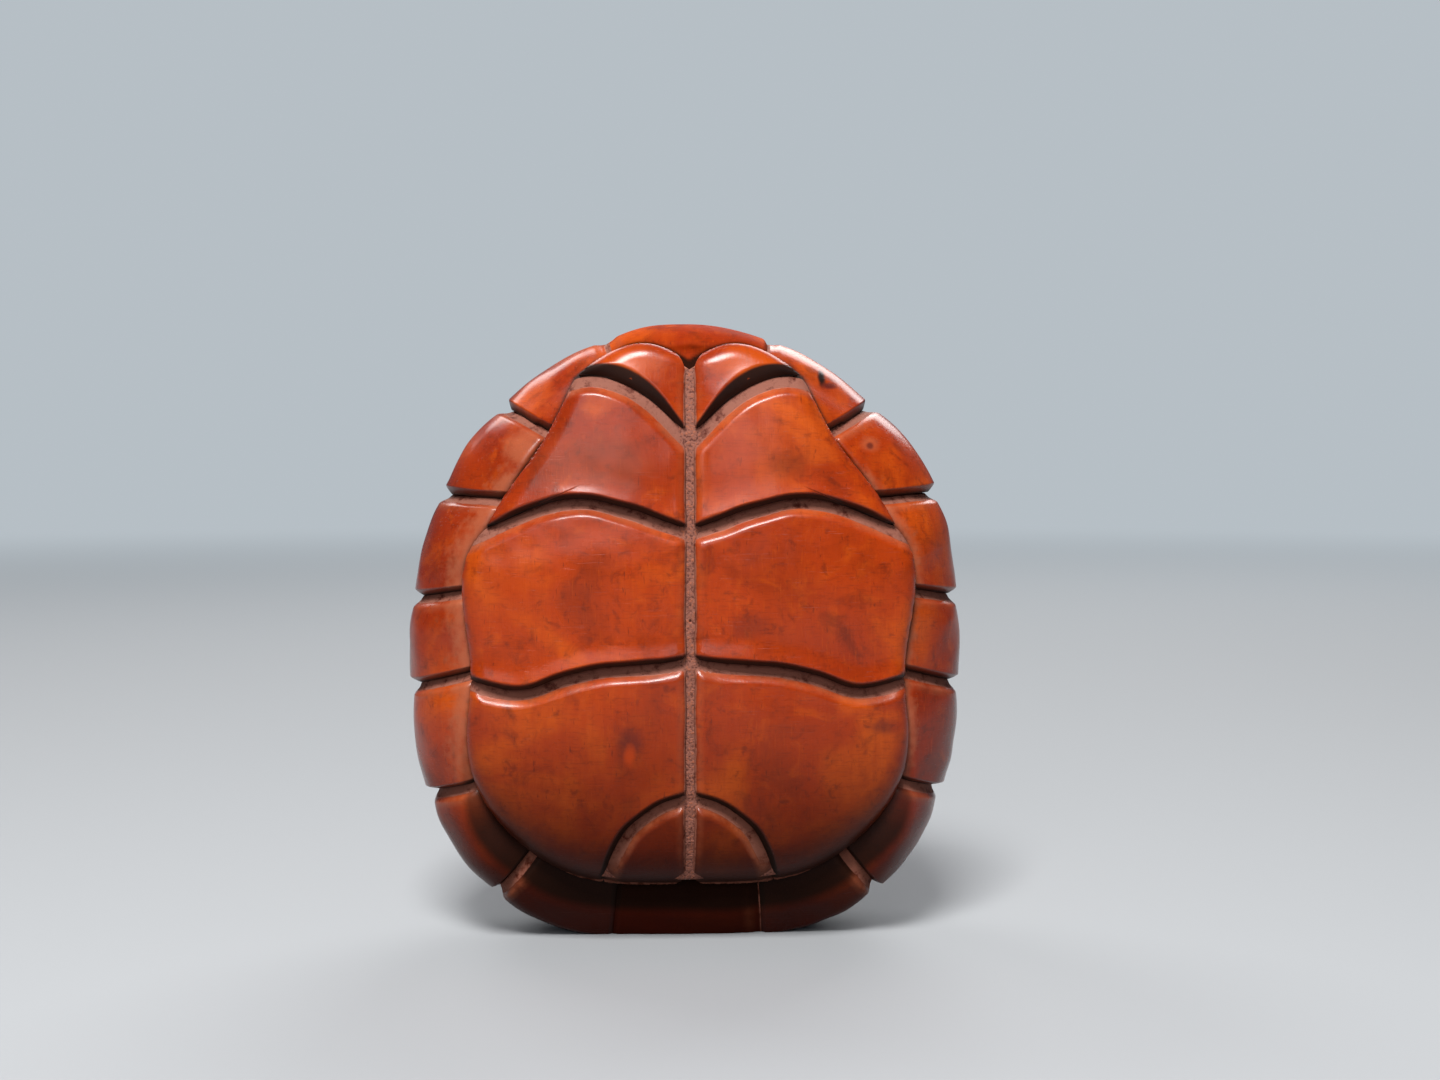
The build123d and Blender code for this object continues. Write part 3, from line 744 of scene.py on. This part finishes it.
# A rim plate: between two grooves, straight lines run from the outline inwards. Over them the back
# follows the dome and the front follows the rim's own curve; the ends fall into the grooves, and
# the inside is closed by the seat on the block.
def rimPlate(outerTurns, grooves, seed, strengths=(1, 1), lean=0, dullness=0):
    look, paint = rimLook, rimPaint
    even = np.linspace(0, 1, look["along"])
    along = between(0.5 - 0.5 * np.cos(np.pi * even), even, look["evenShare"])
    turns = np.radians(between(*outerTurns, along))
    outX, outZ = outlinePoint(turns)
    innerEnds = [inner for outer, inner in grooves]
    inX, inZ = (between(first, last, along) for first, last in zip(*innerEnds))
    backShare = np.linspace(1, 0, look["backRows"]) ** 2
    frontShare = np.linspace(0, 1, look["frontRows"])[1:] ** 2
    share = np.concatenate([backShare, frontShare])[:, None]
    onBack = np.arange(len(share))[:, None] < len(backShare)
    onFront = ~onBack
    x, z = between(outX, inX, share), between(outZ, inZ, share)
    above = np.clip(z - look["leanFrom"], 0, look["leanReach"])
    leaning = lean * above * rise(share, 0, look["leanShare"])
    y = np.where(onBack, domeY(x, z), np.minimum(rimFrontY(x, z) + leaning, rimY))
    grid = np.stack([x, y, z], axis=-1)
    normal = outwardNormals(grid, [0, rimY, middleZ])
    # how far each place is sunk: the slope or the wall of a groove, the moat, the carver's hand
    slab = -np.minimum(insideSlab(x, z), 0)
    upper, lower = (fromGroove(x, z, *groove) for groove in grooves)
    seam = fromGroove(x, z, *innerEnds)
    slope = strengths[0] * (shoulder(upper, *look["upperSlope"]) + runOut(upper, *look["inset"]))
    wall = strengths[1] * runOut(lower, *look["lowerWall"])
    groove = np.hypot(np.maximum(slope, wall), onBack * runOut(seam, *look["seam"]))
    degrees = np.abs(np.degrees(turns))
    low = rise(degrees, *look["tailTurns"])
    moatSize = [between(usual, tail, low) for usual, tail in zip(look["moat"], look["tailMoat"])]
    moat = onFront * (lean == 0) * runOut(slab, *moatSize, look["moatPower"])
    pillow = look["pillow"] * min(strengths) * rise(np.minimum(upper, lower), look["pillowReach"], 0)
    carved = unevenness(x, y, z, look["carved"], seed)
    grid = grid - normal * (groove + moat + pillow + carved + look["setback"])[..., None]
    grid[..., 2] = np.maximum(grid[..., 2], look["footGap"])
    # dust, haze, painted shade and wear: the painted shade is black on each lower groove wall, the slab's
    # shadow in the moat beside it (widest towards the tail), and a dark line along the slab's edge
    dust = rise(upper - paint["dustWidth"] * strengths[0], *paint["dust"])
    dust = strengths[0] ** paint["dustPower"] * dust
    dust = np.clip(dust + onBack * straightRise(seam, *paint["seamDust"]), 0, 1)
    hazeWidth = paint["leftHaze"] if turns.mean() < 0 else paint["rightHaze"]
    haze = onFront * np.exp(-(slab / hazeWidth) ** 2)
    haze = haze * rise(degrees, *paint["hazeFrom"]) * rise(degrees, *paint["hazeTo"])
    start, width, strength = (between(paint["moatShade"][key], paint["tailShade"][key], low)
                              for key in ("start", "width", "strength"))
    shade = strength * rise(slab, start, start - width) + straightRise(slab, *paint["edgeShade"])
    paintedShade = strengths[1] * straightRise(lower, *paint["wallShade"]) + onFront * shade
    wear = paint["wearStrength"] * strengths[0] * tent(upper, *paint["wear"])
    # two rings draw each end together to its pole
    rings = np.swapaxes(grid, 0, 1)
    core = rings.mean(axis=1)
    shares = np.array(look["capShares"])[:, None, None]
    caps = between(core[0], rings[0], shares), between(core[-1], rings[-1], shares[::-1])
    rings = np.concatenate([caps[0], rings, caps[1]])
    layers = dict(dull=(np.full(rings.shape[:2], float(dullness)), (0, 0)))
    for layer, values, atEnds in (("dust", dust, 1), ("paintedShade", np.clip(paintedShade, 0, 1), 1),
                                  ("wear", wear, 0), ("haze", haze, 0)):
        cap = np.full((len(shares), rings.shape[1]), float(atEnds))
        layers[layer] = np.vstack([cap, values.T, cap]), (atEnds, atEnds)
    return rings, [core[0], core[-1]], layers


lastGroove = len(rimGrooves) - 1
grooveTurns = rimGrooves[:, 0]
for index in range(lastGroove):
    lean = rimLook["lean"] if index == 0 else 0
    strengths = (rimLook["topStrength"] if index == 0 else 1,
                 rimLook["tailStrength"] if index == lastGroove - 1 else 1)
    for side, sideName in sides:
        grooves = rimGroove(index, side), rimGroove(index + 1, side)
        turns = side * grooveTurns[index], side * grooveTurns[index + 1]
        plate = rimPlate(turns, grooves, 100 + 7 * index + side, strengths, lean)
        makePiece(f"marginal_{index + 1}_{sideName}", "rim_wood", rimWood, *plate)
# the two plates on the middle line, between a groove and its mirror image
topTurns = -grooveTurns[0], grooveTurns[0]
tailTurns = grooveTurns[-1], 360 - grooveTurns[-1]
for node, index, side, turns, strength, lean in (
        ("nuchal", 0, -1, topTurns, rimLook["topStrength"], rimLook["lean"]),
        ("supracaudal", lastGroove, 1, tailTurns, rimLook["tailStrength"], 0)):
    grooves = rimGroove(index, side), rimGroove(index, -side)
    plate = rimPlate(turns, grooves, 200 + index, (strength, strength), lean, rimLook["endDullness"])
    makePiece(node, "rim_wood", rimWood, *plate)
print("rim plates carved")

# a back plate: its groove (width, depth, power), its crown and year rings, and the grid
backLook = dict(groove=(1.9, 1.15, 1.7), crown=0.6, crownReach=5, cornerPower=3, nearestEdge=0.05,
                ringHeight=0.05, ringTurns=2.6, ringReach=8, carved=((0.09, 12),), setback=0.1,
                dust=(0.9, 0.3), wear=(1.4, 0.9), wearStrength=0.8, around=200, across=44, spread=1.7)
# right-hand corners of the middle row, from the top down: shares of half the width, of the height
vertebralShares = [(0.20, 0.74), (0.29, 0.66), (0.20, 0.58), (0.29, 0.497), (0.20, 0.415),
                   (0.27, 0.335), (0.18, 0.26)]
rightCorners = np.array([onGroove(index, 1, rimLook["plateWidth"]) for index in range(lastGroove + 1)])
vertebralCorners = np.vstack([rightCorners[:1], np.multiply(vertebralShares, [halfWidth, shell["height"]]),
                              rightCorners[-1:]])
lastCorner = len(vertebralCorners) - 1
# which corners of the block each costal plate reaches; a half lies midway between two
costalReaches = ((0, 1, 2), (2, 3, 3.5), (3.5, 4, 5), (5, 6, 7))


# A back plate: rings round its middle out to its straight edges, on the dome, crowned a little and
# falling into the grooves, then forwards to the block's back. The crown and the year rings follow
# a power mean of the distances to the edges, so that they turn the corners softly.
def backPlate(corners, seed):
    look = backLook
    corners = np.array(corners)
    middle = corners.mean(axis=0)
    edgeWays = np.roll(corners, -1, axis=0) - corners
    outward = np.column_stack([edgeWays[:, 1], -edgeWays[:, 0]])
    outward /= np.linalg.norm(outward, axis=1, keepdims=True)
    outward *= np.sign(((corners - middle) * outward).sum(axis=1, keepdims=True))
    offsets = ((corners - middle) * outward).sum(axis=1)
    turns = np.linspace(0, 2 * np.pi, look["around"], endpoint=False)
    facing = np.column_stack([np.sin(turns), np.cos(turns)]) @ outward.T
    reach = offsets / np.maximum(facing, nearlyNought)
    reach = np.where(facing > nearlyNought, reach, np.inf).min(axis=1)
    share = (1 - np.linspace(1, 0, look["across"]) ** look["spread"])[1:, None]
    x = middle[0] + share * reach * np.sin(turns)
    z = middle[1] + share * reach * np.cos(turns)
    inside = [np.abs(offset - way[0] * (x - middle[0]) - way[1] * (z - middle[1]))
              for offset, way in zip(offsets, outward)]
    edge = np.min(inside, axis=0)
    power = look["cornerPower"]
    soft = (np.maximum(inside, look["nearestEdge"]) ** -power).sum(axis=0) ** (-1 / power)
    yearRings = look["ringHeight"] * np.sin(soft * look["ringTurns"]) * rise(soft, look["ringReach"], 0)
    crown = look["crown"] * rise(soft, look["crownReach"], 0)
    y = domeY(x, z) - runOut(edge, *look["groove"])
    y = y - crown - yearRings - unevenness(x, y, z, look["carved"], seed) - look["setback"]
    dust = straightRise(edge, *look["dust"])
    wear = look["wearStrength"] * tent(edge, *look["wear"])
    # the last ring is the front of the plate, hidden on the block
    x, z, y = np.vstack([x, x[-1]]), np.vstack([z, z[-1]]), np.vstack([y, backSeatY + 0 * y[-1]])
    dust, wear = np.vstack([dust, 1 + 0 * dust[-1]]), np.vstack([wear, 0 * wear[-1]])
    rings = np.stack([x, y, z], axis=-1)
    poles = [(middle[0], y[0].mean(), middle[1]), (middle[0], backSeatY, middle[1])]
    return rings, poles, dict(dust=(dust, (0, 1)), wear=(wear, (0, 0)), paintedShade=(0 * dust, (0, 0)))


# A corner of the block's right side, or a place between two corners.
def blockCorner(place):
    low, high = rightCorners[int(np.floor(place))], rightCorners[int(np.ceil(place))]
    return between(low, high, place % 1)


for number in range(1, 6):
    right = vertebralCorners[max(2 * number - 3, 0):2 * number]
    plate = backPlate([*right, *(right * [-1, 1])[::-1]], 300 + number)
    makePiece(f"vertebral_{number}", "back_wood", backWood, *plate)
for number, reaches in enumerate(costalReaches, start=1):
    inner = vertebralCorners[max(2 * number - 2, 1):min(2 * number + 1, lastCorner)]
    corners = np.vstack([[blockCorner(place) for place in reaches], inner[::-1]])
    for side, sideName in sides:
        plate = backPlate(corners * [side, 1], 320 + number * side)
        makePiece(f"costal_{number}_{sideName}", "back_wood", backWood, *plate)
print("back plates carved")

# the studio, in metres: tones as seen and as thrown back on the object, and where the floor fades
studio = dict(floorSeen=(0.40, 0.41, 0.42), floorBounce=(0.12, 0.12, 0.125), floorRoughness=0.85,
              wallSeen=(0.47, 0.52, 0.56), fill=(0.085, 0.10, 0.12), floorFade=(0.18, 1.1),
              floorCorners=[(-4, -3, 0), (4, -3, 0), (4, 5, 0), (-4, 5, 0)])
# lights: place, aimed at, size, power
lamps = dict(keyLight=((-0.07, -0.37, 0.51), (0, 0, 0.035), 0.18, 4.9),
             frontLight=((-0.10, -0.53, 0.29), (0, 0, 0.045), 0.32, 0.75),
             backLight=((0.25, 0.60, 0.55), (0, 0, 0.035), 0.5, 3.2),
             leftBackLight=((-0.30, 0.42, 0.50), (0, 0, 0.060), 0.30, 1.2))
# the camera stands in metres; it looks down by the tilt and to the right by the turn, in degrees
viewpoint = dict(place=(-0.00754, -0.2394, 0.0584), tilt=2.95, turn=2.8, lens=50, sensor=36, near=0.01)


# Pale paper where it is seen or mirrored; what it throws back on the object is weaker. Far off it
# runs over into the tone of the wall.
def floorMaterial():
    material, board = newMaterial("floorPaper")
    rays = board.add("ShaderNodeLightPath").outputs
    seen = board.math("MAXIMUM", rays["Is Camera Ray"], rays["Is Glossy Ray"])
    tint = board.mix(seen, studio["floorBounce"], studio["floorSeen"])
    paper = board.add("ShaderNodeBsdfPrincipled", Base_Color=tint, Roughness=studio["floorRoughness"])
    wall = board.add("ShaderNodeEmission", Color=(*studio["wallSeen"], 1))
    length = board.fill("ShaderNodeVectorMath", dict(operation="LENGTH"), board.place())
    far = board.times(board.ramp(length.outputs["Value"], *studio["floorFade"]), seen)
    blend = board.fill("ShaderNodeMixShader", {}, far, paper.outputs[0], wall.outputs[0])
    board.close("ShaderNodeOutputMaterial", blend.outputs[0])
    return material


floorMesh = bpy.data.meshes.new("floor")
floorMesh.from_pydata(studio["floorCorners"], [], [(0, 1, 2, 3)])
floorMesh.materials.append(floorMaterial())
floor = bpy.data.objects.new("floor", floorMesh)
bpy.context.scene.collection.objects.link(floor)

world = bpy.data.worlds.new("softRoom")
bpy.context.scene.world = world
world.use_nodes = True
board = NodeBoard(world.node_tree)
seen = board.add("ShaderNodeLightPath").outputs["Is Camera Ray"]
room = board.add("ShaderNodeBackground", Color=board.mix(seen, studio["fill"], studio["wallSeen"]))
board.close("ShaderNodeOutputWorld", room.outputs[0])


# A square lamp that faces the point that it is aimed at.
def softLight(name, place, aim, size, power):
    lamp = bpy.data.lights.new(name, "AREA")
    lamp.shape, lamp.size, lamp.energy = "SQUARE", size, power
    holder = bpy.data.objects.new(name, lamp)
    holder.location = place
    holder.rotation_euler = (Vector(aim) - Vector(place)).to_track_quat("-Z", "Y").to_euler()
    bpy.context.scene.collection.objects.link(holder)


for name, lamp in lamps.items():
    softLight(name, *lamp)

cameraData = bpy.data.cameras.new("camera")
cameraData.lens, cameraData.sensor_width = viewpoint["lens"], viewpoint["sensor"]
cameraData.clip_start = viewpoint["near"]
camera = bpy.data.objects.new("camera", cameraData)
camera.location = viewpoint["place"]
camera.rotation_euler = (radians(90 - viewpoint["tilt"]), 0, radians(-viewpoint["turn"]))
bpy.context.scene.collection.objects.link(camera)
bpy.context.scene.camera = camera
bpy.context.scene.view_settings.view_transform = "Standard"
print("studio set")
